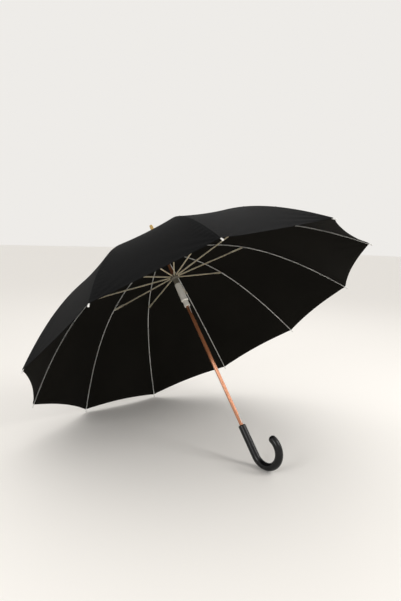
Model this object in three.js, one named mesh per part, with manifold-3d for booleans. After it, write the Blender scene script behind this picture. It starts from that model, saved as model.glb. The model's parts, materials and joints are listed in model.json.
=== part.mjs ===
// Stick umbrella, open and lying on two rib tips and the bend of its J handle.
// Millimetres, +Z up. Every piece is first laid out in the umbrella's own frame, with
// +z along the shaft toward the ferrule and the tip circle at z = 0, then the whole
// group is leaned over and lifted so that it rests on z = 0.
import * as THREE from 'three';
import { mergeVertices } from 'three/addons/utils/BufferGeometryUtils.js';
import Module from 'manifold-3d';

// Driving dimensions
const RIBS = 11;
const TIP_R = 500; // rib end, open canopy radius
const CROWN_Z = 281; // rib hinge height above the tip circle
const HINGE_R = 10; // radius of both hinge wires
const NOTCH_Z = 196; // stretcher hinge height, open
const RIB_CURVE = [[10, 281], [190, 284], [333, 216], [500, 0]]; // Bezier in (radius, height)
const RIB_W = 2.6;
const RIB_H = 2.6;
const TIP_KNOB_R = 2.2;
const PIVOT_T = 0.4645; // place of the stretcher pivot along the rib curve
const PIVOT_DROP = 3; // pivot below the rib's centre line
const EAR_R = 2.4;
const FORK_DEPTH = 36;
const CHEEK_IN = 1.7;
const CHEEK_OUT = 2.7;
const STRETCH_H = 3.6;
const EYE_R = 2.2;
const EYE_HOLE_R = 1;
const WIRE_R = 0.6;
const SHAFT_R = 5;
const BORE_R = 5.35;
const NOTCH_OUT_R = 12.5;
const SLOT_IN_R = 7.3;
const SLOT_W = 3.3;
const SLEEVE_R = 10;
const COLLAR_R = 8.4;
const HEAD_R = 7.9;
const SLEEVE_TOP = 170;
const SLEEVE_STEP = 113;
const SLEEVE_END = 95;
const KEY_W = 2.2; // groove in the runner that passes over the spring catches
const KEY_R = 7.4;
const HANDLE_TOP = -266;
const HANDLE_STRAIGHT = 84;
const HANDLE_R = 9.8;
const BEND_R = 40;
const BEND_SWEEP = 3.58;
const FERRULE_TIP = 382;
const CLOTH_T = 1;
const CLOTH_GAP = 1.3; // cloth to rib
const SEAM_GAP = 0.4; // between neighbouring panels
const CLOTH_INNER_R = 14;
const SCALLOP = 0.013; // hem rise at the middle of a panel, share of the rib curve
const HEM_T = 0.992; // the hem stops short of the rib's tip
const ARC_STEPS = 4; // half the corners of a small round on a plate
const RING_STEPS = 33;

const wasm = await Module();
wasm.setup();

const HALF = Math.PI / RIBS;
const group = new THREE.Group();
const umbrella = new THREE.Group();
group.add(umbrella);

const steel = new THREE.MeshStandardMaterial({ color: 0xb9bcc0, roughness: 0.35, metalness: 1 });
const champagne = new THREE.MeshStandardMaterial({ color: 0xbfb493, roughness: 0.35, metalness: 1 });
const rose = new THREE.MeshStandardMaterial({ color: 0xb98468, roughness: 0.2, metalness: 1 });
const brass = new THREE.MeshStandardMaterial({ color: 0xc9a35a, roughness: 0.25, metalness: 1 });
const ivory = new THREE.MeshStandardMaterial({ color: 0xe6dcc8, roughness: 0.4, metalness: 0 });
const olive = new THREE.MeshStandardMaterial({ color: 0x6f6c5c, roughness: 0.5, metalness: 0 });
const black = new THREE.MeshStandardMaterial({ color: 0x0d0d0e, roughness: 0.3, metalness: 0 });
const cloth = new THREE.MeshStandardMaterial({ color: 0x141415, roughness: 0.8, metalness: 0 });

function solid(geometry) {
  const bare = geometry.clone();
  bare.deleteAttribute('normal');
  bare.deleteAttribute('uv');
  const merged = mergeVertices(bare, 1e-4);
  return new wasm.Manifold(new wasm.Mesh({
    numProp: 3,
    vertProperties: new Float32Array(merged.attributes.position.array),
    triVerts: new Uint32Array(merged.index.array),
  }));
}

function geometryOf(manifold) {
  const mesh = manifold.getMesh();
  const out = new THREE.BufferGeometry();
  out.setAttribute('position', new THREE.BufferAttribute(new Float32Array(mesh.vertProperties), 3));
  out.setIndex(new THREE.BufferAttribute(new Uint32Array(mesh.triVerts), 1));
  out.computeVertexNormals();
  return out;
}

function place(name, geometry, material, turn = 0) {
  const mesh = new THREE.Mesh(geometry, material);
  mesh.name = name;
  mesh.rotation.z = turn;
  umbrella.add(mesh);
  return mesh;
}

// Turned piece from [radius, height] pairs, closed on itself or ending on the axis.
function turned(points, segments = 24) {
  const geometry = new THREE.LatheGeometry(points.map(([r, z]) => new THREE.Vector2(r, z)), segments);
  return geometry.rotateX(Math.PI / 2);
}

function ring(inner, outer, low, high, segments = 24) {
  return turned([[inner, low], [outer, low], [outer, high], [inner, high], [inner, low]], segments);
}

// Flat plate in the radial plane (x = radius, z = height), centred on y = 0 or shifted.
function plate(shape, width, middle = 0) {
  const options = { depth: width, bevelEnabled: false, steps: 1, curveSegments: ARC_STEPS };
  const geometry = new THREE.ExtrudeGeometry(shape, options);
  return geometry.translate(0, 0, -width / 2).rotateX(Math.PI / 2).translate(0, middle, 0);
}

function box(x0, x1, y0, y1, z0, z1) {
  const geometry = new THREE.BoxGeometry(x1 - x0, y1 - y0, z1 - z0);
  return geometry.translate((x0 + x1) / 2, (y0 + y1) / 2, (z0 + z1) / 2);
}

// The rib's centre line
const ribCurve = new THREE.CubicBezierCurve(...RIB_CURVE.map(([r, z]) => new THREE.Vector2(r, z)));

function outward(t) {
  const d = ribCurve.getTangent(t);
  return new THREE.Vector2(-d.y, d.x);
}

function ribPoint(t, offset) {
  return ribCurve.getPoint(t).addScaledVector(outward(t), offset);
}

// Rib: a flat bar with a hinge eye, an ear under it for the stretcher and a rounded tip.
function ribGeometry() {
  const steps = 14;
  const start = 0.0025;
  const outline = [];
  for (let i = 0; i <= steps; i += 1) {
    outline.push(ribPoint(start + (1 - start) * i / steps, RIB_H / 2));
  }
  for (let i = steps; i >= 0; i -= 1) {
    outline.push(ribPoint(start + (1 - start) * i / steps, -RIB_H / 2));
  }
  const bar = solid(plate(new THREE.Shape(outline), RIB_W));
  const eye = new THREE.Shape().absarc(HINGE_R, CROWN_Z, EYE_R, 0, 2 * Math.PI);
  const pivot = ribPoint(PIVOT_T, -PIVOT_DROP);
  const ear = new THREE.Shape().absarc(pivot.x, pivot.y, EAR_R, 0, 2 * Math.PI);
  const knob = new THREE.Shape().absarc(TIP_R, 0, TIP_KNOB_R, 0, 2 * Math.PI);
  const hole = new THREE.Shape().absarc(HINGE_R, CROWN_Z, EYE_HOLE_R, 0, 2 * Math.PI);
  return geometryOf(bar
    .add(solid(plate(eye, RIB_W)))
    .add(solid(plate(ear, RIB_W)))
    .add(solid(plate(knob, RIB_W)))
    .subtract(solid(plate(hole, RIB_W + 2))));
}

// Stretcher: a bar from the runner that ends in a fork straddling the rib's ear.
function stretcherGeometry() {
  const pivot = ribPoint(PIVOT_T, -PIVOT_DROP);
  const base = new THREE.Vector2(HINGE_R, NOTCH_Z);
  const along = pivot.clone().sub(base);
  const length = along.length();
  const angle = Math.atan2(along.y, along.x);
  const half = STRETCH_H / 2;
  const bar = solid(box(EYE_R * 0.6, length - FORK_DEPTH - 2, -RIB_W / 2, RIB_W / 2, -half, half));
  const eye = new THREE.Shape().absarc(0, 0, EYE_R, 0, 2 * Math.PI);
  const hole = new THREE.Shape().absarc(0, 0, EYE_HOLE_R, 0, 2 * Math.PI);
  const bridge = box(length - FORK_DEPTH - 6, length - FORK_DEPTH, -CHEEK_OUT, CHEEK_OUT, -half, half);
  let all = bar.add(solid(plate(eye, RIB_W))).add(solid(bridge));
  for (const side of [-1, 1]) {
    const y = side * (CHEEK_IN + CHEEK_OUT) / 2;
    const width = CHEEK_OUT - CHEEK_IN;
    const cheek = box(length - FORK_DEPTH - 3, length, y - width / 2, y + width / 2, -half, half);
    const round = new THREE.Shape().absarc(length, 0, half, 0, 2 * Math.PI);
    const rivet = new THREE.Shape().absarc(length, 0, half * 0.62, 0, 2 * Math.PI);
    all = all.add(solid(cheek)).add(solid(plate(round, width, y)));
    all = all.add(solid(plate(rivet, width + 0.7, y + side * 0.35)));
  }
  all = all.subtract(solid(plate(hole, RIB_W + 2)));
  return geometryOf(all).rotateY(-angle).translate(base.x, 0, base.y);
}

// Half a canopy panel: a thin curved shell from a rib's seam to the panel's middle line.
// Across the panel the cloth runs straight from rib to rib, and the hem is scalloped.
function panelGeometry(side) {
  const along = 12;
  const across = 3;
  const geometry = new THREE.BoxGeometry(1, 1, 1, along, across, 1);
  const points = geometry.attributes.position;
  const middle = RIB_H / 2 + CLOTH_GAP + CLOTH_T / 2;
  let first = 0;
  while (ribPoint(first, middle).x * Math.cos(HALF) < CLOTH_INNER_R) first += 0.0005;
  for (let i = 0; i < points.count; i += 1) {
    const u = points.getX(i) + 0.5;
    const v = 0.5 + points.getY(i);
    const w = points.getZ(i);
    const hem = HEM_T - SCALLOP * v * (2 - v);
    const p = ribPoint(first + (hem - first) * u, middle + w * CLOTH_T);
    const wide = p.x * Math.sin(HALF);
    const lateral = SEAM_GAP / 2 + (wide - SEAM_GAP) * v;
    // the chord between two ribs, seen in the rib's own plane
    const y = lateral * Math.cos(HALF);
    const x = p.x - lateral * Math.sin(HALF);
    points.setXYZ(i, x, side * y, p.y);
  }
  if (side < 0) {
    const index = geometry.index.array;
    for (let i = 0; i < index.length; i += 3) {
      [index[i + 1], index[i + 2]] = [index[i + 2], index[i + 1]];
    }
  }
  return geometryOf(solid(geometry));
}

// Slots for the rib or stretcher eyes, cut into a notched ring
function slotCutters(inner, low, high) {
  let all = null;
  for (let k = 0; k < RIBS; k += 1) {
    const cutter = box(inner, NOTCH_OUT_R + 3, -SLOT_W / 2, SLOT_W / 2, low, high)
      .rotateZ(Math.PI + HALF * (2 * k + 1));
    all = all ? all.add(solid(cutter)) : solid(cutter);
  }
  return all;
}

const rib = ribGeometry();
const stretcher = stretcherGeometry();
const panelNext = panelGeometry(1);
const panelBack = panelGeometry(-1);

for (let k = 0; k < RIBS; k += 1) {
  const label = String(k + 1).padStart(2, '0');
  const turn = Math.PI + HALF * (2 * k + 1);
  place(`rib_${label}`, rib, steel, turn);
  place(`stretcher_${label}`, stretcher, champagne, turn);
  place(`panel_${label}_next`, panelNext, cloth, turn);
  place(`panel_${label}_back`, panelBack, cloth, turn);
}

// Shaft with a slot for each spring catch
const CATCHES = [['upper_catch', SLEEVE_END - 2], ['lower_catch', HANDLE_TOP + 26]];
const CATCH_LEN = 22;
const CATCH_T = 1.2;
let shaft = solid(turned([[0, -300], [SHAFT_R, -300], [SHAFT_R, 300], [0, 300]]));
for (const [, top] of CATCHES) {
  const slot = box(0.6, SHAFT_R + 1, -1, 1, top - CATCH_LEN - 1, top + 1);
  shaft = shaft.subtract(solid(slot));
}
place('shaft', geometryOf(shaft), rose);

// Spring catch: a leaf in the slot whose shoulder stands proud under the runner
for (const [name, top] of CATCHES) {
  const leaf = new THREE.Shape();
  leaf.moveTo(3, top - CATCH_LEN);
  leaf.lineTo(4.8, top - CATCH_LEN);
  leaf.lineTo(7, top - 3);
  leaf.lineTo(7, top);
  leaf.lineTo(3.6, top);
  leaf.lineTo(3, top - 6);
  place(name, geometryOf(solid(plate(leaf, CATCH_T))), steel);
}

place('upper_stop', ring(BORE_R, 7.4, 204, 208), rose);

// Crown: the notched ring that the ribs hinge on, its wire, and the cap over the cloth
const crownRing = solid(ring(BORE_R, NOTCH_OUT_R, CROWN_Z - 4.5, CROWN_Z + 4, RING_STEPS))
  .subtract(slotCutters(SLOT_IN_R, CROWN_Z - 6, CROWN_Z + 2.6))
  .subtract(solid(ring(HINGE_R - 1, HINGE_R + 1, CROWN_Z - 6, CROWN_Z + 1, RING_STEPS)));
place('crown_notch', geometryOf(crownRing), brass);
const wireRing = new THREE.TorusGeometry(HINGE_R, WIRE_R, 6, RING_STEPS);
place('crown_wire', wireRing.clone().translate(0, 0, CROWN_Z), steel);
place('crown_cap', turned([
  [BORE_R, 286.4], [16.5, 286.4], [18, 285.9], [18.2, 287], [16, 289.2], [10, 291.2],
  [BORE_R, 291.8], [BORE_R, 286.4],
]), brass);
place('ferrule', turned([
  [BORE_R, 292.4], [8.2, 292.4], [8.2, 295], [6.9, 297], [6.6, 340], [5.6, 362], [5.2, 374],
  [4.8, FERRULE_TIP - 1], [3.8, FERRULE_TIP], [0, FERRULE_TIP], [0, 301], [BORE_R, 301],
  [BORE_R, 292.4],
]), brass);

// Runner: sleeve, notched head and hinge wire, with a groove that clears the catches
const key = solid(box(0, KEY_R, -KEY_W / 2, KEY_W / 2, SLEEVE_END - 5, NOTCH_Z + 20));
const sleeve = solid(turned([
  [BORE_R, SLEEVE_END], [COLLAR_R - 0.6, SLEEVE_END], [COLLAR_R, SLEEVE_END + 0.8],
  [COLLAR_R, SLEEVE_STEP], [SLEEVE_R - 0.5, SLEEVE_STEP + 1.5], [SLEEVE_R, SLEEVE_STEP + 3],
  [SLEEVE_R, SLEEVE_TOP - 2], [SLEEVE_R - 1, SLEEVE_TOP], [BORE_R, SLEEVE_TOP],
  [BORE_R, SLEEVE_END],
])).subtract(key);
place('runner_sleeve', geometryOf(sleeve), ivory);
const head = solid(turned([
  [BORE_R, SLEEVE_TOP + 0.3], [HEAD_R, SLEEVE_TOP + 0.3], [HEAD_R, 185], [9.4, 188],
  [NOTCH_OUT_R, NOTCH_Z - 5], [NOTCH_OUT_R, NOTCH_Z + 4.5], [BORE_R, NOTCH_Z + 4.5],
  [BORE_R, SLEEVE_TOP + 0.3],
], RING_STEPS))
  .subtract(slotCutters(SLOT_IN_R, NOTCH_Z - 2.8, NOTCH_Z + 6))
  .subtract(solid(ring(HINGE_R - 1, HINGE_R + 1, NOTCH_Z - 1, NOTCH_Z + 6, RING_STEPS)))
  .subtract(key);
place('runner_head', geometryOf(head), olive);
place('runner_wire', wireRing.clone().translate(0, 0, NOTCH_Z), steel);

// J handle: straight grip and bend as one swept bar, rounded end, bored for the shaft
const bendZ = HANDLE_TOP - HANDLE_STRAIGHT;
const grip = new THREE.Shape().absarc(0, 0, HANDLE_R, 0, 2 * Math.PI);
class Bend extends THREE.Curve {
  getPoint(t, target = new THREE.Vector3()) {
    const th = t * BEND_SWEEP;
    return target.set(BEND_R * (1 - Math.cos(th)), 0, bendZ - BEND_R * Math.sin(th));
  }
}
const bendEnd = new Bend().getPoint(1);
const handleBore = [[0, -301], [BORE_R, -301], [BORE_R, HANDLE_TOP + 1], [0, HANDLE_TOP + 1]];
const handle = solid(new THREE.ExtrudeGeometry(grip, {
  steps: 20, curveSegments: 10, bevelEnabled: false, extrudePath: new Bend(),
})).add(solid(turned([
  [0, bendZ - 1], [HANDLE_R, bendZ - 1], [HANDLE_R, HANDLE_TOP - 4], [HANDLE_R - 1.2, HANDLE_TOP - 0.8],
  [HANDLE_R - 2, HANDLE_TOP], [0, HANDLE_TOP],
], 20))).add(solid(new THREE.SphereGeometry(HANDLE_R, 20, 10).translate(bendEnd.x, 0, bendEnd.z)))
  .subtract(solid(turned(handleBore)));
place('handle', geometryOf(handle), black);

// Lean: the angle at which the two lowest rib tips and the handle's bend share one floor
function tipDepth(lean) {
  const across = Math.cos(lean) * Math.cos(HALF);
  const knob = TIP_KNOB_R * Math.hypot(across, Math.sin(lean));
  return TIP_R * across + knob + RIB_W / 2 * Math.cos(lean) * Math.sin(HALF);
}
function handleDepth(lean) {
  return BEND_R + HANDLE_R - bendZ * Math.sin(lean) - BEND_R * Math.cos(lean);
}
let low = 0.6;
let high = 1.3;
for (let i = 0; i < 60; i += 1) {
  const mid = (low + high) / 2;
  if (handleDepth(mid) < tipDepth(mid)) low = mid;
  else high = mid;
}
const lean = (low + high) / 2;

umbrella.rotation.y = lean - Math.PI / 2;
group.updateMatrixWorld(true);
const bounds = new THREE.Box3().setFromObject(group, true);
umbrella.position.set(-(bounds.min.x + bounds.max.x) / 2, 0, -bounds.min.z);
group.updateMatrixWorld(true);

export default group;
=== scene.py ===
"""Stick umbrella, open and lying on two rib tips and the bend of its J handle."""
import json
import math
import bmesh
import bpy
from mathutils import Matrix, Vector
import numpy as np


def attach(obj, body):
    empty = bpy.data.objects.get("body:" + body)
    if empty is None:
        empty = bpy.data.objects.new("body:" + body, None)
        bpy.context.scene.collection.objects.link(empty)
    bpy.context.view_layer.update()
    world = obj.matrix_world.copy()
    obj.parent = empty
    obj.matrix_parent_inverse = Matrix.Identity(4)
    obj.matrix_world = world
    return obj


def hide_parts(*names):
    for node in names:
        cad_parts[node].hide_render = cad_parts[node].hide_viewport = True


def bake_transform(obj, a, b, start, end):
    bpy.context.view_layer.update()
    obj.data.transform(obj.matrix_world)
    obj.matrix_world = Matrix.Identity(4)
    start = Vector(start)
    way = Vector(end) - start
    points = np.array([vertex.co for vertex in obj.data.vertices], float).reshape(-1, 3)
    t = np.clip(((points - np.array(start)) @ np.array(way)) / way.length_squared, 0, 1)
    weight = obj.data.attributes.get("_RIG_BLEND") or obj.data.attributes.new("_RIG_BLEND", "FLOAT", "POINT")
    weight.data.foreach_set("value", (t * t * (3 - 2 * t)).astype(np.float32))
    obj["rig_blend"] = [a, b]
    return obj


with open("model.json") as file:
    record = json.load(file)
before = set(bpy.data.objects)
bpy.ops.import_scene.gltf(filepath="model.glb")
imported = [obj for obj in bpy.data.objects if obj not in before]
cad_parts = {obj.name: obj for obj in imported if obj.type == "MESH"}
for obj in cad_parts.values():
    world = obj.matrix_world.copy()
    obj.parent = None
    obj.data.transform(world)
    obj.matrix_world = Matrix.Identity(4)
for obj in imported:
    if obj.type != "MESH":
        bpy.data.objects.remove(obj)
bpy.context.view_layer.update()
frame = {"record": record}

# The umbrella's own frame: +z along the shaft toward the ferrule, z = 0 at the rib tips'
# circle, +x up and away in the shaft's vertical plane. Shapes below are in millimetres there.
RIBS = 11
HALF = math.pi / RIBS
RIB_CURVE = [(10, 281), (190, 284), (333, 216), (500, 0)]
CROWN_Z, NOTCH_Z, HINGE_R = 281, 196, 10
PIVOT_T, PIVOT_DROP = 0.4645, 3
FERRULE_TIP, HANDLE_TOP, BEND_Z = 382, -266, -350
HANDLE_R, BEND_R, BEND_SWEEP = 9.8, 40, 3.58
SCALLOP, HEM_T, CLOTH_INNER_R = 0.013, 0.992, 14
UPPER_CATCH, LOWER_CATCH = 93, -240
EYE_R, EYE_HALF, EYE_HOLE = 2.2, 1.25, 1.0
EAR_R, EAR_THICK, EAR_HOLE = 2.4, 0.5, 0.8
FORK = 36
BORE = 5.35

# The cloth's height over the rib's centre line and how far it draws inward between two ribs; the
# seam's puckers; and the folds at a rib's tip, with their reach along the rib and along the hem.
CLOTH_LIFT, CLOTH_DRAW = 1.9, 7.0
PUCKER_HIGH, PUCKER_LONG, PUCKER_REACH = 0.55, 17.0, 14.0
FOLD_HIGH, FOLD_RAYS, FOLD_ALONG, FOLD_ACROSS = 0.9, 16.0, 70.0, 60.0

# Cloth details in metres, where the materials and the modifiers measure.
CLOTH_THICK, WEAVE_PITCH, STITCH_PITCH = 0.0005, 0.0007, 0.003
SEAM_FOLD, SEAM_ROW, HEM_FOLD, HEM_ROW, ROW_HALF = 0.005, 0.004, 0.008, 0.0065, 0.0003

mount = frame["record"]["mounts"][0]
along = Vector(mount["axis"]).normalized()
origin = Vector(mount["pos_m"]) - along * FERRULE_TIP / 1000
side = Vector((0, 1, 0))
up = side.cross(along)
PLACE = Matrix.Translation(origin) @ Matrix((up, side, along)).transposed().to_4x4() \
    @ Matrix.Scale(0.001, 4)


def spin(k):
    """Turn about the shaft that brings the +x half plane to rib k."""
    return Matrix.Rotation(math.pi + HALF * (2 * k + 1), 4, "Z")


# ---------------------------------------------------------------- materials

class Nodes:
    """A material's node tree with short calls for the nodes used here."""

    def __init__(self, name, rough, metal=0.0, **values):
        self.mat = bpy.data.materials.new(name)
        self.mat.use_nodes = True
        self.tree = self.mat.node_tree
        self.shader = self.tree.nodes["Principled BSDF"]
        self.shader.inputs["Roughness"].default_value = rough
        self.shader.inputs["Metallic"].default_value = metal
        for key, value in values.items():
            self.shader.inputs[key.replace("_", " ")].default_value = value

    def node(self, kind, inputs=(), **settings):
        n = self.tree.nodes.new(kind)
        for key, value in settings.items():
            setattr(n, key, value)
        for key, value in dict(inputs).items():
            if isinstance(value, bpy.types.NodeSocket):
                self.tree.links.new(value, n.inputs[key])
            else:
                n.inputs[key].default_value = value
        return n

    def math(self, op, a, b=0.0, c=0.0):
        return self.node("ShaderNodeMath", {0: a, 1: b, 2: c}, operation=op).outputs[0]

    def noise(self, scale, vector=None, detail=3.0, rough=0.5):
        given = {"Scale": scale, "Detail": detail, "Roughness": rough}
        if vector is not None:
            given["Vector"] = vector
        return self.node("ShaderNodeTexNoise", given).outputs["Fac"]

    def ramp(self, fac, stops):
        n = self.node("ShaderNodeValToRGB", {"Fac": fac})
        while len(n.color_ramp.elements) < len(stops):
            n.color_ramp.elements.new(0.5)
        for e, (pos, col) in zip(n.color_ramp.elements, stops):
            e.position = pos
            e.color = (*col, 1)
        return n.outputs["Color"]

    def mix(self, fac, a, b):
        n = self.node("ShaderNodeMix", data_type="RGBA")
        for key, value in ((0, fac), (6, a), (7, b)):
            if isinstance(value, bpy.types.NodeSocket):
                self.tree.links.new(value, n.inputs[key])
            else:
                n.inputs[key].default_value = value if key == 0 else (*value, 1)
        return n.outputs[2]

    def link(self, out, socket):
        self.tree.links.new(out, self.shader.inputs[socket])

    def bump(self, height, distance, strength):
        given = {"Height": height, "Distance": distance, "Strength": strength}
        return self.node("ShaderNodeBump", given).outputs["Normal"]

    def object_space(self):
        return self.node("ShaderNodeTexCoord").outputs["Object"]

    def uv(self, layer):
        """The two coordinates of a UV layer."""
        vector = self.node("ShaderNodeUVMap", uv_map=layer).outputs[0]
        parts = self.node("ShaderNodeSeparateXYZ", {0: vector})
        return parts.outputs[0], parts.outputs[1]

    def wave(self, position, pitch):
        return self.math("SINE", self.math("MULTIPLY", position, 2 * math.pi / pitch))

    def stitches(self, across, row, along):
        """1 on the dashes of a stitch row that lies at across = row."""
        away = self.math("ABSOLUTE", self.math("SUBTRACT", across, row))
        on_row = self.math("LESS_THAN", away, ROW_HALF)
        dash = self.math("GREATER_THAN", self.wave(along, STITCH_PITCH), -0.5)
        return self.math("MULTIPLY", on_row, dash)


def cloth_material(name, base, light, sheen):
    """Dense plain weave with felled seams along the ribs, a turned hem and their stitching."""
    m = Nodes(name, 0.62, Sheen_Weight=sheen, Sheen_Roughness=0.45, Specular_IOR_Level=0.04)
    u, w = m.uv("weave")
    hem, hem_along = m.uv("edge")
    threads = m.math("MULTIPLY", m.wave(u, WEAVE_PITCH), m.wave(w, WEAVE_PITCH))
    where = m.object_space()
    cloud = m.noise(7.0, where, 4.0)
    slub = m.noise(420.0, where, 2.0)
    # seam allowance by the rib and turned hem, each with one row of stitches
    fold = m.math("MAXIMUM", m.math("LESS_THAN", w, SEAM_FOLD), m.math("LESS_THAN", hem, HEM_FOLD))
    stitch = m.math("MAXIMUM", m.stitches(w, SEAM_ROW, u), m.stitches(hem, HEM_ROW, hem_along))
    tone = m.math("MULTIPLY_ADD", slub, 0.35, m.math("MULTIPLY", cloud, 0.65))
    colour = m.ramp(tone, [(0.3, base), (0.7, light)])
    colour = m.mix(m.math("MULTIPLY", m.math("ADD", threads, 1.0), 0.16), colour, light)
    thread = tuple(2.4 * c for c in light)
    colour = m.mix(stitch, colour, thread)
    m.link(colour, "Base Color")
    m.link(m.math("MULTIPLY_ADD", tone, 0.16, 0.66), "Roughness")
    height = m.math("MULTIPLY_ADD", fold, 0.4, m.math("MULTIPLY", threads, 0.05))
    height = m.math("MULTIPLY_ADD", stitch, 0.35, height)
    height = m.math("MULTIPLY_ADD", cloud, 0.6, height)
    m.link(m.bump(height, 0.0007, 0.8), "Normal")
    return m.mat


def metal_material(name, base, light, rough, coat=0.0, bump=0.00004, metal=1.0, wear=1.0):
    """Drawn or plated metal: fine grain, soft cloudiness and small handling marks."""
    m = Nodes(name, rough, metal, Coat_Weight=coat, Coat_Roughness=0.12)
    where = m.object_space()
    cloud = m.noise(28.0, where, 3.0)
    grain = m.noise(900.0, where, 2.0)
    marks = m.noise(160.0, where, 5.0, 0.7)
    tone = m.math("MULTIPLY_ADD", grain, 0.15, m.math("MULTIPLY", cloud, 0.85))
    m.link(m.ramp(tone, [(0.32, base), (0.68, light)]), "Base Color")
    rub = m.ramp(marks, [(0.45, (0, 0, 0)), (0.75, (1, 1, 1))])
    clouded = m.math("MULTIPLY_ADD", cloud, 0.1 * wear, rough - 0.05)
    m.link(m.math("MULTIPLY_ADD", rub, 0.12 * wear, clouded), "Roughness")
    m.link(m.bump(m.math("MULTIPLY_ADD", grain, 0.6, marks), bump, 0.6), "Normal")
    return m.mat


def plastic_material(name, base, light, rough, grain_scale, bump, coat=0.0, gloss=0.5):
    """Moulded plastic: very fine surface grain, slight flow clouds and rubbed spots."""
    m = Nodes(name, rough, 0.0, Coat_Weight=coat, Coat_Roughness=0.15, Specular_IOR_Level=gloss)
    where = m.object_space()
    cloud = m.noise(18.0, where, 3.0)
    grain = m.noise(grain_scale, where, 2.0)
    wear = m.noise(60.0, where, 6.0, 0.65)
    m.link(m.ramp(cloud, [(0.3, base), (0.7, light)]), "Base Color")
    rub = m.ramp(wear, [(0.5, (0, 0, 0)), (0.72, (1, 1, 1))])
    m.link(m.math("MULTIPLY_ADD", rub, 0.1, m.math("MULTIPLY_ADD", grain, 0.08, rough - 0.05)),
           "Roughness")
    m.link(m.bump(m.math("MULTIPLY_ADD", wear, 0.3, grain), bump, 0.5), "Normal")
    return m.mat


MAT = {
    # one fabric whose outside and inside get separate colours, each set to how bright that side looks where
    # the light falls: painted light and shade, not two different cloths
    "cloth_outside_painted_light_shade": cloth_material("cloth_outside_painted_light_shade", (0.0030, 0.0032, 0.0035), (0.0060, 0.0063, 0.0068),
                                0.005),
    "cloth_inside_painted_light_shade": cloth_material("cloth_inside_painted_light_shade", (0.0050, 0.0046, 0.0036), (0.0098, 0.0090, 0.0072),
                               0.01),
    "steel": metal_material("steel", (0.70, 0.70, 0.68), (0.86, 0.86, 0.84), 0.42, metal=0.5),
    "champagne": metal_material("champagne", (0.78, 0.70, 0.52), (0.90, 0.83, 0.66), 0.42,
                                metal=0.35),
    "rose": metal_material("rose", (0.47, 0.185, 0.085), (0.53, 0.215, 0.105), 0.19, coat=0.8,
                           bump=0.000001, metal=0.55, wear=0.2),
    "brass": metal_material("brass", (0.52, 0.35, 0.13), (0.74, 0.54, 0.25), 0.2),
    "ivory": plastic_material("ivory", (0.88, 0.85, 0.77), (0.94, 0.92, 0.86), 0.34, 700.0,
                              0.00003, coat=0.25),
    "olive": plastic_material("olive", (0.13, 0.12, 0.09), (0.20, 0.185, 0.145), 0.5, 500.0,
                              0.00006),
    "black": plastic_material("black", (0.0035, 0.0035, 0.004), (0.007, 0.007, 0.0075), 0.22,
                              800.0, 0.00001, gloss=0.28),
}


# ---------------------------------------------------------------- mesh helpers

def make(name, verts, faces, material, turn=None, smooth=True):
    """A mesh object from points in the umbrella's frame, in millimetres."""
    place = PLACE @ turn if turn is not None else PLACE
    mesh = bpy.data.meshes.new(name)
    mesh.from_pydata([place @ Vector(v) for v in verts], [], faces)
    mesh.materials.append(MAT[material])
    mesh.validate()
    if smooth:
        mesh.shade_smooth()
    obj = bpy.data.objects.new(name, mesh)
    bpy.context.collection.objects.link(obj)
    return obj


def ring_faces(rows, count, closed_rows=False):
    """Quads between consecutive loops of count points each."""
    faces = []
    for i in range(rows if closed_rows else rows - 1):
        j = (i + 1) % rows
        for n in range(count):
            m = (n + 1) % count
            faces.append((i * count + n, i * count + m, j * count + m, j * count + n))
    return faces


def rounded(profile, radius, steps=3):
    """The profile with its corners rounded off by a small radius."""
    out = []
    for i, p in enumerate(profile):
        if i in (0, len(profile) - 1):
            out.append(p)
            continue
        a, b, c = Vector(profile[i - 1]), Vector(p), Vector(profile[i + 1])
        ra, rc = (a - b), (c - b)
        cut = min(radius, 0.45 * ra.length, 0.45 * rc.length)
        start, end = b + ra.normalized() * cut, b + rc.normalized() * cut
        for s in range(steps + 1):
            t = s / steps
            q = (1 - t) ** 2 * start + 2 * t * (1 - t) * b + t * t * end
            out.append((q.x, q.y))
    return out


def lathe(name, profile, material, count=64, radius=0.5):
    """Turned piece from (radius, height) pairs, from low to high along its outside."""
    points = rounded(profile, radius)
    verts, loops, caps = [], [], []
    for r, z in points:
        if r < 1e-6:
            caps.append(len(verts))
            verts.append((0, 0, z))
            loops.append(None)
            continue
        loops.append(len(verts))
        for n in range(count):
            a = 2 * math.pi * n / count
            verts.append((r * math.cos(a), r * math.sin(a), z))
    faces = []
    closed = points[0] == points[-1]
    for i in range(len(points) - 1):
        lo, hi = loops[i], loops[i + 1]
        for n in range(count):
            m = (n + 1) % count
            if lo is None:
                faces.append((caps[0], hi + m, hi + n))
            elif hi is None:
                faces.append((lo + n, lo + m, caps[-1]))
            else:
                faces.append((lo + n, lo + m, hi + m, hi + n))
    obj = make(name, verts, faces, material)
    if closed:
        weld(obj)
    return obj


def weld(obj, distance=1e-6):
    """Merges doubled points and turns every face outward."""
    bm = bmesh.new()
    bm.from_mesh(obj.data)
    bmesh.ops.remove_doubles(bm, verts=bm.verts, dist=distance)
    bmesh.ops.recalc_face_normals(bm, faces=bm.faces)
    bm.to_mesh(obj.data)
    bm.free()


def bevelled(obj, width, segments=2, angle=35):
    """Small rounded edges, so that no edge is knife sharp."""
    b = obj.modifiers.new("edges", "BEVEL")
    b.width = width
    b.segments = segments
    b.limit_method = "ANGLE"
    b.angle_limit = math.radians(angle)
    b.harden_normals = False
    n = obj.modifiers.new("normals", "WEIGHTED_NORMAL")
    n.keep_sharp = True
    return obj


def joined(name, parts):
    """One object from several, first one's materials kept."""
    bpy.ops.object.select_all(action="DESELECT")
    for p in parts:
        p.select_set(True)
    bpy.context.view_layer.objects.active = parts[0]
    bpy.ops.object.join()
    parts[0].name = name
    parts[0].data.name = name
    return parts[0]


# ---------------------------------------------------------------- rib curve

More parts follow.
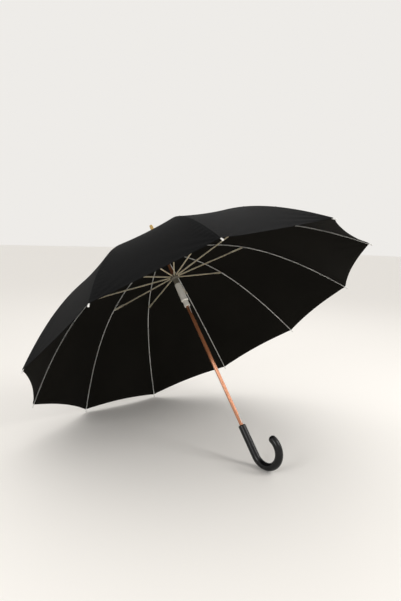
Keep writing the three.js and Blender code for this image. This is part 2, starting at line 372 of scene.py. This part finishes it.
def curve(t):
    """The rib's centre line as (radius, height): t = 0 at the crown's hinge, 1 at the tip."""
    p = [Vector(q) for q in RIB_CURVE]
    return (1 - t) ** 3 * p[0] + 3 * t * (1 - t) ** 2 * p[1] + 3 * t * t * (1 - t) * p[2] \
        + t ** 3 * p[3]


def curve_out(t):
    """Unit vector across the rib there, away from the umbrella's inside."""
    p = [Vector(q) for q in RIB_CURVE]
    d = 3 * (1 - t) ** 2 * (p[1] - p[0]) + 6 * t * (1 - t) * (p[2] - p[1]) \
        + 3 * t * t * (p[3] - p[2])
    d.normalize()
    return Vector((-d.y, d.x))


def curve_along(t):
    """Unit vector along the rib there, toward its tip."""
    out = curve_out(t)
    return Vector((out.y, -out.x))


def rib_point(t, offset):
    """A point off the rib's centre line, outward where offset is positive."""
    return curve(t) + curve_out(t) * offset


ARC_STEPS = 400
ARC = [0.0]
for i in range(ARC_STEPS):
    ARC.append(ARC[-1] + (curve((i + 1) / ARC_STEPS) - curve(i / ARC_STEPS)).length)


def arc(t):
    """Length of the rib's curve from the crown's hinge to t."""
    x = max(0.0, min(1.0, t)) * ARC_STEPS
    i = min(ARC_STEPS - 1, int(x))
    return ARC[i] + (ARC[i + 1] - ARC[i]) * (x - i)


# ---------------------------------------------------------------- canopy

def hem_t(v):
    """Where the hem crosses, at the share v of the way from rib to middle line."""
    return HEM_T - SCALLOP * v * (2 - v)


def cloth_point(t, v, sign):
    """A point of the cloth: straight from rib to rib, drawn slightly inward between them."""
    reach = t ** 1.3
    draw = v * (2 - v)
    offset = CLOTH_LIFT - CLOTH_DRAW * reach * draw
    # puckers that the rib seam gathers, fading out within a few centimetres
    lateral = curve(t).x * math.sin(HALF) * v
    pucker = math.exp(-lateral / PUCKER_REACH) * (1 - math.exp(-lateral / 2.5))
    s = arc(t)
    wave = math.sin(s * 2 * math.pi / PUCKER_LONG + 1.7 * math.sin(s / 31.0) + sign)
    offset += PUCKER_HIGH * reach * pucker * wave
    # tension folds that run from the rib's tip along the hem
    near_tip = math.exp(-((ARC[-1] * HEM_T - s) / FOLD_ALONG) ** 2)
    ray = math.atan2(ARC[-1] - s + 2.0, lateral + 6.0)
    fade, rise = math.exp(-lateral / FOLD_ACROSS), 1 - math.exp(-lateral / 6.0)
    offset += FOLD_HIGH * near_tip * math.sin(ray * FOLD_RAYS) * fade * rise
    p = rib_point(t, offset)
    wide = p.x * math.sin(HALF)
    y = wide * v
    return (p.x - y * math.sin(HALF), sign * y * math.cos(HALF), p.y)


def panel(label, k, name, sign):
    """A half panel of cloth, from rib k's seam to the middle line on the side given by sign."""
    rows, cols = 150, 22
    # the cloth starts where its middle line clears the crown
    first = 0.0
    while curve(first).x * math.cos(HALF) < CLOTH_INNER_R:
        first += 0.0005
    verts, weave, edge, weight = [], [], [], []
    for i in range(rows + 1):
        for j in range(cols + 1):
            v = j / cols
            last = hem_t(v)
            # rows crowd toward the hem, where the folded edge needs them
            f = i / rows
            t = first + (last - first) * (f + 0.12 * math.sin(math.pi * f) * f)
            verts.append(cloth_point(t, v, sign))
            lateral = curve(t).x * math.sin(HALF) * v
            weave.append((arc(t) / 1000, lateral / 1000))
            edge.append(((arc(last) - arc(t)) / 1000, lateral / 1000))
            weight.append(v)
    faces = []
    across = cols + 1
    for i in range(rows):
        for j in range(cols):
            a = i * across + j
            quad = (a, a + across, a + across + 1, a + 1)
            faces.append(quad if sign > 0 else quad[::-1])
    # the outer faces take the outside colour and the inner faces, through the thickness's material offset,
    # the inside colour: painted light and shade on one cloth
    obj = make(name + "_cloth", verts, faces, "cloth_outside_painted_light_shade", spin(k))
    mesh = obj.data
    mesh.materials.append(MAT["cloth_inside_painted_light_shade"])
    for layer_name, table in (("weave", weave), ("edge", edge)):
        layer = mesh.uv_layers.new(name=layer_name)
        for loop in mesh.loops:
            layer.data[loop.index].uv = table[loop.vertex_index]
    thick = obj.modifiers.new("thickness", "SOLIDIFY")
    thick.thickness = CLOTH_THICK
    thick.offset = -1
    thick.use_even_offset = False
    thick.material_offset = 1
    thick.material_offset_rim = 0
    share = mesh.attributes.new("share", "FLOAT", "POINT")
    share.data.foreach_set("value", weight)
    # the cut edges stay crisp, so the two halves of a panel meet without a line between them
    thickened = obj.evaluated_get(bpy.context.evaluated_depsgraph_get())
    mesh = bpy.data.meshes.new_from_object(thickened)
    obj.modifiers.clear()
    obj.data = mesh
    mesh.set_sharp_from_angle(angle=math.radians(50))
    weight = [item.value for item in mesh.attributes["share"].data]
    mesh.attributes.remove(mesh.attributes["share"])
    seam = PLACE @ spin(k) @ Vector(cloth_point(0.6, 0, sign))
    middle = PLACE @ spin(k) @ Vector(cloth_point(0.6, 1, sign))
    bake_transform(obj, f"rib_{label}", name, start=seam, end=middle)
    # the whole seam stays with the rib and the whole middle line turns with the panel,
    # so the share grows from seam to middle line at every height, not along one direction
    mesh.attributes["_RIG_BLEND"].data.foreach_set("value", weight)
    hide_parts(name)


# ---------------------------------------------------------------- ribs and stretchers

def channel(name, path, width, height, wall, material, turn):
    """A U channel that follows path, a list of (point, outward) in the radial plane."""
    w, h = width / 2, height / 2
    section = [(-w, -h), (-w, h * 0.55), (-w * 0.72, h * 0.92), (0, h), (w * 0.72, h * 0.92),
               (w, h * 0.55), (w, -h), (w - wall, -h), (w - wall, h * 0.4),
               (0, h - wall), (wall - w, h * 0.4), (wall - w, -h)]
    verts = []
    for p, n in path:
        for y, z in section:
            q = p + n * z
            verts.append((q.x, y, q.y))
    count = len(section)
    faces = ring_faces(len(path), count)
    last = (len(path) - 1) * count
    # both ends, face by face; a repeated last index makes a triangle
    for base, flip in ((0, False), (last, True)):
        for a, b, c, d in ((0, 1, 10, 11), (1, 2, 9, 10), (2, 3, 9, 9), (3, 4, 9, 9), (4, 5, 8, 9),
                           (5, 6, 7, 8)):
            quad = [base + a, base + b, base + c] + ([base + d] if d != c else [])
            faces.append(tuple(quad[::-1] if flip else quad))
    obj = make(name, verts, faces, material, turn, smooth=False)
    weld(obj)
    obj.data.shade_smooth()
    obj.data.set_sharp_from_angle(angle=math.radians(40))
    return obj


def disc(name, centre, radius, y0, y1, material, turn, hole=0.0, count=28):
    """A short round piece across the radial plane, from y0 to y1, with an optional hole."""
    verts, faces = [], []
    edge = min(0.25, abs(y1 - y0) * 0.25)
    rows = [(radius - edge, y0), (radius, y0 + edge), (radius, y1 - edge), (radius - edge, y1)]
    if hole:
        rows += [(hole + edge * 0.6, y1), (hole, y1 - edge * 0.6), (hole, y0 + edge * 0.6),
                 (hole + edge * 0.6, y0)]
    for r, y in rows:
        for n in range(count):
            a = 2 * math.pi * n / count
            verts.append((centre.x + r * math.cos(a), y, centre.y + r * math.sin(a)))
    faces = ring_faces(len(rows), count, closed_rows=bool(hole))
    if not hole:
        faces.append(tuple(range(count)))
        faces.append(tuple(reversed(range((len(rows) - 1) * count, len(rows) * count))))
    obj = make(name, verts, faces, material, turn)
    weld(obj)
    obj.data.set_sharp_from_angle(angle=math.radians(50))
    return obj


def rib(label, k):
    """A rib's channel with its hinge eye and the two ears of the stretcher's rivet."""
    start, stop, steps = 0.009, 0.992, 90
    stations = [start + (stop - start) * i / steps for i in range(steps + 1)]
    path = [(curve(t), curve_out(t)) for t in stations]
    bar = channel(f"rib_{label}_channel", path, 2.1, 2.4, 0.42, "steel", spin(k))
    eye = disc("eye", Vector((HINGE_R, CROWN_Z)), EYE_R, -EYE_HALF, EYE_HALF, "steel", spin(k),
               hole=EYE_HOLE)
    neck_path = [(curve(t), curve_out(t)) for t in (0.0022, 0.006, 0.010)]
    neck = channel("neck", neck_path, 2.4, 2.2, 0.8, "steel", spin(k))
    pivot = rib_point(PIVOT_T, -PIVOT_DROP)
    parts = [bar, eye, neck]
    for y in (-EYE_HALF, EYE_HALF - EAR_THICK):
        parts.append(disc("ear", pivot, EAR_R, y, y + EAR_THICK, "steel", spin(k),
                          hole=EAR_HOLE))
    body = joined(f"rib_{label}_channel", parts)
    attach(body, f"rib_{label}")
    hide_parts(f"rib_{label}")


def rib_tip(label, k):
    """Pressed cup on the rib's end, and the small round bead past the hem."""
    end, out, along_rib = curve(1.0), curve_out(1.0), curve_along(1.0)
    profile = [(0.0, 2.25), (1.3, 2.0), (2.05, 1.0), (2.2, 0.0), (2.0, -1.0), (1.5, -1.8),
               (1.45, -3.0), (1.75, -3.6), (1.75, -9.5), (1.55, -10.2), (0.0, -10.2)]
    verts, count = [], 28
    for r, z in profile:
        for n in range(count):
            a = 2 * math.pi * n / count
            c = end + along_rib * z + out * (r * math.cos(a))
            verts.append((c.x, r * math.sin(a), c.y))
    faces = ring_faces(len(profile), count)
    tip = make(f"rib_{label}_tip", verts, faces, "steel", spin(k))
    weld(tip)
    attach(tip, f"rib_{label}")


def rib_ties(label, k):
    """Thread ties, two turns each, that hold the cloth's seam to the rib."""
    major, minor, steps, around, squash = 2.25, 0.28, 24, 6, 0.86
    loops = []
    for t in (0.16, 0.3, 0.62, 0.78):
        centre, out, along_rib = rib_point(t, 0.45), curve_out(t), curve_along(t)
        verts = []
        for shift in (-0.45, 0.35):
            for n in range(steps):
                a = 2 * math.pi * n / steps
                for c in range(around):
                    b = 2 * math.pi * c / around
                    rad = major + minor * math.cos(b)
                    q = centre + out * (rad * math.sin(a) * squash) \
                        + along_rib * (shift + minor * math.sin(b))
                    verts.append((q.x, rad * math.cos(a) * squash, q.y))
        turn = ring_faces(steps, around, closed_rows=True)
        faces = [tuple(base + f for f in face) for base in (0, steps * around) for face in turn]
        # the ties take the cloth inside's colour, painted light and shade included
        loops.append(make("tie", verts, faces, "cloth_inside_painted_light_shade", spin(k)))
    ties = joined(f"rib_{label}_ties", loops)
    weld(ties)
    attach(ties, f"rib_{label}")


def stretcher(label, k):
    """A stretcher: eye on the runner's wire, channel, and the fork that straddles the rib."""
    pivot = rib_point(PIVOT_T, -PIVOT_DROP)
    base = Vector((HINGE_R, NOTCH_Z))
    line = pivot - base
    length = line.length
    line.normalize()
    normal = Vector((-line.y, line.x))
    start, stop, steps = 3.2, length - FORK, 12
    path = [(base + line * (start + (stop - start) * i / steps), normal) for i in range(steps + 1)]
    bar = channel("bar", path, 2.6, 3.3, 0.5, "champagne", spin(k))
    eye = disc("eye", base, EYE_R, -EYE_HALF, EYE_HALF, "champagne", spin(k), hole=EYE_HOLE)
    neck = channel("neck", [(base + line * d, normal) for d in (1.7, 2.6, 4.5)], 2.4, 2.6, 0.8,
                   "champagne", spin(k))
    parts = [bar, eye, neck]
    for sign in (-1, 1):
        # the fork's cheek steps out from the channel's wall and ends in a round eye
        verts = []
        stations = [(length - 44, 0.8, 1.2), (length - 39, 0.8, 1.25), (length - FORK, 1.3, 1.8),
                    (length - 33, 1.7, 2.4), (length - 12, 1.7, 2.4), (length - 2, 1.7, 2.4),
                    (length, 1.7, 2.4)]
        for d, y0, y1 in stations:
            h = 1.65 if d < length - 30 else 1.8
            for y, z in ((y0, -h), (y1, -h), (y1, h), (y0, h)):
                q = base + line * d + normal * z
                verts.append((q.x, sign * y, q.y))
        faces = ring_faces(len(stations), 4)
        top = (len(stations) - 1) * 4
        faces += [(0, 1, 2, 3), (top + 3, top + 2, top + 1, top)]
        cheek = make("cheek", verts, faces, "champagne", spin(k), smooth=False)
        weld(cheek)
        parts.append(cheek)
        y0, y1 = sorted((sign * 1.7, sign * 2.4))
        parts.append(disc("round", pivot, 1.8, y0, y1, "champagne", spin(k)))
        y0, y1 = sorted((sign * 2.3, sign * 2.95))
        parts.append(disc("rivet", pivot, 1.15, y0, y1, "champagne", spin(k)))
    body = joined(f"stretcher_{label}_bar", parts)
    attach(body, f"stretcher_{label}")
    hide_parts(f"stretcher_{label}")


# ---------------------------------------------------------------- crown, runner, shaft

def toothed_ring(name, z0, z1, open_up, material, base_low, base_high):
    """Teeth between the slots of a notched ring, over a solid base disc."""
    parts = []
    for k in range(RIBS):
        mid = math.pi + HALF * (2 * k + 2)
        verts = []
        rows = [7.2, 8.9, 9.1, 10.9, 11.1, 12.5]
        for r in rows:
            reach = HALF - math.asin(1.65 / r)
            groove = 9.0 < r < 11.0
            lo = z0 if (open_up or not groove) else CROWN_Z + 1
            hi = z1 if (not open_up or not groove) else NOTCH_Z - 1
            for z in (lo, hi):
                for s in (-1, 1):
                    a = mid + s * max(reach, 0.02)
                    verts.append((r * math.cos(a), r * math.sin(a), z))
        faces = []
        for i in range(len(rows) - 1):
            a, b = i * 4, i * 4 + 4
            faces += [(a, b, b + 1, a + 1), (a + 2, a + 3, b + 3, b + 2),
                      (a, a + 2, b + 2, b), (a + 1, b + 1, b + 3, a + 3)]
        e = (len(rows) - 1) * 4
        faces += [(0, 1, 3, 2), (e, e + 2, e + 3, e + 1)]
        tooth = make("tooth", verts, faces, material, smooth=False)
        weld(tooth)
        parts.append(tooth)
    disc_profile = [(BORE, base_low), (12.5, base_low), (12.5, base_high), (BORE, base_high),
                    (BORE, base_low)]
    # the core is a hair wider inside than the disc, so that their walls don't coincide
    core_bore = 5.36
    core = [(core_bore, z0), (7.25, z0), (7.25, z1), (core_bore, z1), (core_bore, z0)]
    parts.append(lathe("disc", disc_profile, material, 66, 0.3))
    parts.append(lathe("core", core, material, 66, 0.15))
    obj = joined(name, parts)
    obj.data.shade_smooth()
    obj.data.set_sharp_from_angle(angle=math.radians(35))
    bevelled(obj, 0.00012, 1, 40)
    return obj


def wire_ring(name, z, body):
    """The hinge wire that runs through all eleven eyes."""
    count, around, wire_r = 66, 10, 0.6
    verts = []
    for n in range(count):
        a = 2 * math.pi * n / count
        for c in range(around):
            b = 2 * math.pi * c / around
            r = HINGE_R + wire_r * math.cos(b)
            verts.append((r * math.cos(a), r * math.sin(a), z + wire_r * math.sin(b)))
    faces = ring_faces(count, around, closed_rows=True)
    obj = make(name + "_round", verts, faces, "steel")
    weld(obj)
    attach(obj, body)
    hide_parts(name)


def cut_boxes(obj, material, boxes):
    """Cuts boxes, each (x0, x1, half width, z0, z1), out of a piece."""
    cutters = []
    for x0, x1, half, z0, z1 in boxes:
        verts = [(x, y, z) for x in (x0, x1) for y in (-half, half) for z in (z0, z1)]
        faces = [(0, 1, 3, 2), (4, 6, 7, 5), (0, 4, 5, 1), (2, 3, 7, 6), (0, 2, 6, 4), (1, 5, 7, 3)]
        box = make("slot", verts, faces, material, smooth=False)
        weld(box)
        cutters.append(box)
    cutter = joined("slots", cutters)
    cut = obj.modifiers.new("slots", "BOOLEAN")
    cut.object = cutter
    cut.operation = "DIFFERENCE"
    cut.solver = "EXACT"
    bpy.context.view_layer.objects.active = obj
    bpy.ops.object.modifier_apply(modifier=cut.name)
    bpy.data.objects.remove(cutter)
    obj.data.shade_smooth()
    obj.data.set_sharp_from_angle(angle=math.radians(40))


def shaft():
    """The shaft, with a slot for each catch."""
    obj = lathe("shaft_tube", [(0, -300), (5, -300), (5, 300), (0, 300)], "rose", 64, 0.4)
    catches = (UPPER_CATCH, LOWER_CATCH)
    cut_boxes(obj, "rose", [(0.6, 7, 1, top - 23, top + 1) for top in catches])
    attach(obj, "frame")
    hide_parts("shaft")


def catch(name, top):
    """A spring catch: a flat leaf with a sloped nose that stands out of the shaft's slot."""
    outline = [(3.25, top - 22), (4.7, top - 22), (5.6, top - 12), (7, top - 3), (7, top),
               (3.7, top), (3.4, top - 8)]
    verts = [(x, y, z) for y in (-0.6, 0.6) for x, z in outline]
    n = len(outline)
    faces = [tuple(range(n)), tuple(reversed(range(n, 2 * n)))]
    faces += [(i, n + i, n + (i + 1) % n, (i + 1) % n) for i in range(n)]
    obj = make(name + "_leaf", verts, faces, "steel", smooth=False)
    weld(obj)
    bevelled(obj, 0.0002, 2)
    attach(obj, name)
    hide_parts(name)


def runner():
    """The ivory sleeve with its lip and inner key groove, and the notched head above it."""
    sleeve = lathe("runner_sleeve_shell", [
        (BORE, 95), (7.6, 95), (8.0, 96), (8.0, 112.4), (8.3, 113.4), (10.1, 113.8), (10.6, 114.6),
        (10.6, 117.4), (10.2, 118.2), (9.9, 119.5), (9.75, 125), (9.4, 160), (9.3, 167.5),
        (8.9, 169.4), (8.3, 170), (BORE, 170), (BORE, 95)], "ivory", 96, 0.5)
    cut_boxes(sleeve, "ivory", [(3, 7.4, 1.1, 90, 175)])
    groove = [(7.92, 99), (8.25, 99.4), (8.25, 100.8), (7.92, 101.2), (7.92, 99)]
    lip = lathe("runner_sleeve_lip", groove, "ivory", 96, 0.2)
    body = joined("runner_sleeve_shell", [sleeve, lip])
    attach(body, "runner")
    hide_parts("runner_sleeve")
    head = toothed_ring("head_teeth", 189, NOTCH_Z + 4.5, True, "olive", 188.9,
                        NOTCH_Z - 2.9)
    neck = lathe("neck", [
        (BORE, 170.3), (7.6, 170.3), (7.9, 171), (7.9, 183.5), (8.3, 186), (9.4, 188),
        (11.2, 189.6), (12.3, 190.5), (BORE, 190.5), (BORE, 170.3)], "olive", 66, 0.4)
    body = joined("runner_head_body", [head, neck])
    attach(body, "runner")
    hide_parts("runner_head")
    wire_ring("runner_wire", NOTCH_Z, "runner")


def crown():
    """The fixed pieces at the shaft's top: notch, wire, runner stop, cap and ferrule."""
    notch = toothed_ring("crown_notch_body", CROWN_Z - 4.5, CROWN_Z + 2.7, False, "brass",
                         CROWN_Z + 2.6, CROWN_Z + 4)
    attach(notch, "frame")
    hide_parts("crown_notch")
    wire_ring("crown_wire", CROWN_Z, "frame")
    stop = lathe("upper_stop_ring", [(5.0, 204), (6.8, 204), (7.4, 205), (7.4, 207), (6.8, 208),
                                     (5.0, 208), (5.0, 204)], "rose", 64, 0.4)
    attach(stop, "frame")
    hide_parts("upper_stop")
    cap = lathe("crown_cap_dome", [
        (5.2, 286.3), (16.5, 286.3), (17.6, 285.9), (18.1, 286.2), (18.2, 287), (17.2, 288.3),
        (14.5, 289.8), (11, 290.8), (9.6, 291.0), (9.3, 291.5), (5.2, 291.8), (5.2, 286.3)],
        "brass", 96, 0.5)
    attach(cap, "frame")
    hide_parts("crown_cap")
    ferrule = lathe("ferrule_point", [
        (0, 300.3), (5.2, 300.3), (5.2, 292.2), (7.7, 292.2), (8.2, 292.8), (8.2, 294.4),
        (7.7, 295.2), (7.1, 296.2), (6.9, 297.6), (6.9, 299.2), (6.6, 300), (6.6, 312),
        (6.75, 312.4), (6.75, 314), (6.6, 314.4), (6.5, 340), (5.6, 362), (5.25, 373), (5.3, 374),
        (5.3, 375.5), (5.0, 376.2), (4.8, FERRULE_TIP - 1), (3.8, FERRULE_TIP), (0, FERRULE_TIP)],
        "brass", 96, 0.4)
    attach(ferrule, "frame")
    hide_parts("ferrule")


def handle():
    """J grip: a round bar with a rounded top at the shaft and a domed free end."""
    count, straight_steps, bend_steps, dome_steps = 56, 24, 72, 12
    nearly_zero = 0.0003
    path = []
    for i in range(straight_steps + 1):
        z = HANDLE_TOP + (BEND_Z - HANDLE_TOP) * i / straight_steps
        path.append((Vector((0, z)), Vector((1, 0)), HANDLE_R))
    for i in range(1, bend_steps + 1):
        a = BEND_SWEEP * i / bend_steps
        c = Vector((BEND_R * (1 - math.cos(a)), BEND_Z - BEND_R * math.sin(a)))
        path.append((c, Vector((math.cos(a), math.sin(a))), HANDLE_R))
    a = BEND_SWEEP
    heading = Vector((math.sin(a), -math.cos(a)))
    end, n = path[-1][0], path[-1][1]
    for i in range(1, dome_steps + 1):
        b = math.pi / 2 * i / dome_steps
        path.append((end + heading * HANDLE_R * math.sin(b) * 0.92, n,
                     max(HANDLE_R * math.cos(b), nearly_zero)))
    # the rounded top, as (height, radius), stands in for the first two rings
    top = path[0][0]
    lead = [(-2.5, nearly_zero), (-2.5, 5.2), (0, 5.6), (0, HANDLE_R - 1.8),
            (-0.35, HANDLE_R - 1.2), (-0.9, HANDLE_R - 0.6), (-1.8, HANDLE_R - 0.2),
            (-3.2, HANDLE_R)]
    path = [(top + Vector((0, z)), Vector((1, 0)), r) for z, r in lead] + path[2:]
    verts = []
    for c, n, r in path:
        for j in range(count):
            b = 2 * math.pi * j / count
            q = c + n * (r * math.cos(b))
            verts.append((q.x, r * math.sin(b), q.y))
    faces = ring_faces(len(path), count)
    obj = make("handle_grip", verts, faces, "black")
    weld(obj)
    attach(obj, "frame")
    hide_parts("handle")


shaft()
handle()
crown()
runner()
catch("upper_catch", UPPER_CATCH)
catch("lower_catch", LOWER_CATCH)
for index in range(RIBS):
    tag = f"{index + 1:02d}"
    rib(tag, index)
    rib_tip(tag, index)
    rib_ties(tag, index)
    stretcher(tag, index)
for index in range(RIBS):
    tag = f"{index + 1:02d}"
    panel(tag, index, f"panel_{tag}_next", 1)
    panel(tag, index, f"panel_{tag}_back", -1)


# ---------------------------------------------------------------- floor, light, camera

floor_mat = bpy.data.materials.new("floor")
floor_mat.use_nodes = True
floor_shader = floor_mat.node_tree.nodes["Principled BSDF"]
floor_shader.inputs["Base Color"].default_value = (0.90, 0.88, 0.85, 1)
floor_shader.inputs["Roughness"].default_value = 0.75
FLOOR_HALF = 30
corners = [(x * FLOOR_HALF, y * FLOOR_HALF, 0) for x, y in ((-1, -1), (1, -1), (1, 1), (-1, 1))]
floor_mesh = bpy.data.meshes.new("floor")
floor_mesh.from_pydata(corners, [], [(0, 1, 2, 3)])
floor_mesh.materials.append(floor_mat)
floor = bpy.data.objects.new("floor", floor_mesh)
bpy.context.collection.objects.link(floor)

world = bpy.data.worlds.new("studio")
world.use_nodes = True
background = world.node_tree.nodes["Background"]
background.inputs["Color"].default_value = (0.92, 0.90, 0.87, 1)
background.inputs["Strength"].default_value = 0.93
bpy.context.scene.world = world


def area_light(name, place, target, size, power, colour=(1, 1, 1)):
    """A soft round light at place, aimed at target."""
    data = bpy.data.lights.new(name, "AREA")
    data.shape = "DISK"
    data.size = size
    data.energy = power
    data.color = colour
    obj = bpy.data.objects.new(name, data)
    obj.location = place
    obj.rotation_euler = (Vector(target) - Vector(place)).to_track_quat("-Z", "Y").to_euler()
    bpy.context.collection.objects.link(obj)


area_light("key", (1.75, 1.05, 1.85), (0, 0, 0.25), 1.1, 20, (1.0, 0.98, 0.95))
area_light("fill", (0.6, -2.6, 1.2), (0, 0, 0.3), 1.0, 17)
area_light("back", (-1.4, 2.0, 2.4), (0, 0, 0.4), 1.6, 8)

camera_data = bpy.data.cameras.new("camera")
camera_data.sensor_fit = "AUTO"
camera_data.sensor_width = 36
camera_data.lens = 30.185491
# the picture is cropped off centre, so the lens is shifted
camera_data.shift_x = 0.044675541
camera_data.shift_y = 0.037371048
camera_data.clip_start = 0.02
camera = bpy.data.objects.new("camera", camera_data)
yaw, pitch, roll = 2.4326, 0.1613, 0.0294
look = Vector((math.cos(yaw) * math.cos(pitch), math.sin(yaw) * math.cos(pitch), -math.sin(pitch)))
camera.rotation_mode = "QUATERNION"
level = look.to_track_quat("-Z", "Y")
camera.rotation_quaternion = level @ Matrix.Rotation(roll, 3, "Z").to_quaternion()
camera.location = (0.9826, -0.9493, 0.5555)
bpy.context.collection.objects.link(camera)
bpy.context.scene.camera = camera
bpy.context.scene.view_settings.view_transform = "Standard"
